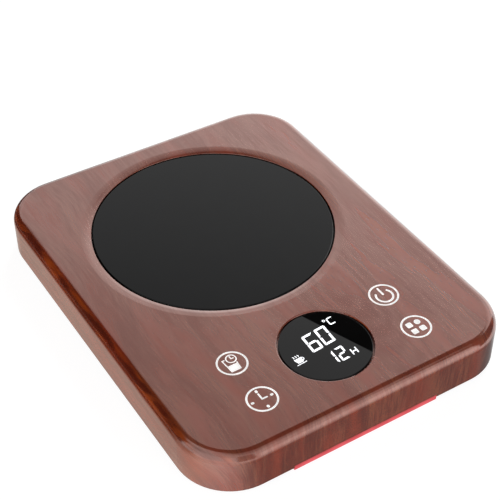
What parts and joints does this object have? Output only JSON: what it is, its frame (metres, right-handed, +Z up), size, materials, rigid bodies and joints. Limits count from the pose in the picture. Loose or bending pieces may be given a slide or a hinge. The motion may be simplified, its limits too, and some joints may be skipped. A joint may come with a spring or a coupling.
{
  "type": "electric mug warmer",
  "caption": "Low rounded-rectangle mug warmer with a wood-grained cover, round glass heating plate that a mug presses down, round digital display, touch icons and a front light bar.",
  "frame": {"origin": "on the table, under the middle of the body's box", "axes": "+Z up, +Y from the display end to the plate end, +X to the right seen from the front"},
  "size_m": [0.13, 0.167, 0.0186],
  "materials": {
    "wood_shell": "lacquered wood grain",
    "tray_plastic": "fine texture",
    "foot_rubber": "matt",
    "label_film": "satin",
    "screw_steel": "zinc plated",
    "lens_tint": "tinted, polished",
    "digit_glow": "lit white",
    "icon_white": "white",
    "module_plastic": "white",
    "board_green": "solder mask",
    "chip_black": "moulded",
    "capacitor_can": "sleeved",
    "connector_nylon": "natural nylon",
    "spring_steel": "bright",
    "wire_white": "silicone",
    "wire_red": "silicone",
    "wire_black": "silicone",
    "light_red": "translucent red, lit",
    "led_white": "clear",
    "jack_black": "moulded",
    "contact_brass": "plated",
    "switch_plastic": "moulded",
    "plunger_red": "moulded",
    "plate_glass": "black, polished",
    "seal_silicone": "silicone",
    "element_film": "polyimide film",
    "spreader_alloy": "rolled",
    "fibre_board": "pressed ceramic fibre",
    "carrier_plastic": "glass-filled",
    "sensor_cap": "turned",
    "strap_steel": "rolled"
  },
  "bodies": {
    "housing": {"top_cover": "wood_shell", "base_tray": "tray_plastic", "rubber_feet": "foot_rubber", "rating_label": "label_film", "cover_screws": "screw_steel", "display_lens": "lens_tint", "display_digits": "digit_glow", "display_module": "module_plastic", "power_icon": "icon_white", "menu_icon": "icon_white", "cup_icon": "icon_white", "clock_icon": "icon_white", "touch_springs": "spring_steel", "control_board": "board_green", "board_screws": "screw_steel", "mcu_chip": "chip_black", "buzzer": "chip_black", "filter_capacitor": "capacitor_can", "power_transistor": "chip_black", "heater_connector": "connector_nylon", "switch_connector": "connector_nylon", "sensor_connector": "connector_nylon", "supply_connector": "connector_nylon", "heater_lead": "wire_white", "fuse_lead": "wire_white", "sensor_leads": "wire_black", "switch_leads": "wire_red", "supply_leads": "wire_red", "light_leads": "wire_black", "light_bar": "light_red", "light_board": "board_green", "light_leds": "led_white", "dc_jack": "jack_black", "jack_pin": "contact_brass", "microswitch": "switch_plastic", "microswitch_terminals": "contact_brass", "plate_springs": "spring_steel"},
    "plate": {"glass_plate": "plate_glass", "glass_seal": "seal_silicone", "heating_element": "element_film", "spreader_plate": "spreader_alloy", "insulation_board": "fibre_board", "plate_carrier": "carrier_plastic", "thermistor": "sensor_cap", "thermistor_clip": "strap_steel", "thermal_fuse": "strap_steel", "fuse_strap": "strap_steel", "fuse_link": "wire_white", "strap_screws": "screw_steel"},
    "plunger": {"switch_plunger": "plunger_red"}
  },
  "joints": [
    {"name": "plate_press", "type": "slide", "parent": "housing", "child": "plate", "axis": [0, 0, -1], "range_m": [0, 0.0008], "stiffness_N_per_m": 1000, "springref_m": -0.0022, "deforming": ["plate_springs", "heater_lead", "fuse_lead", "sensor_leads"]},
    {"name": "plunger_press", "type": "slide", "parent": "housing", "child": "plunger", "axis": [0, 0, -1], "range_m": [0, 0.0008]}
  ],
  "couplings": [
    {"joint": "plunger_press", "follows": "plate_press", "ratio": 1}
  ]
}
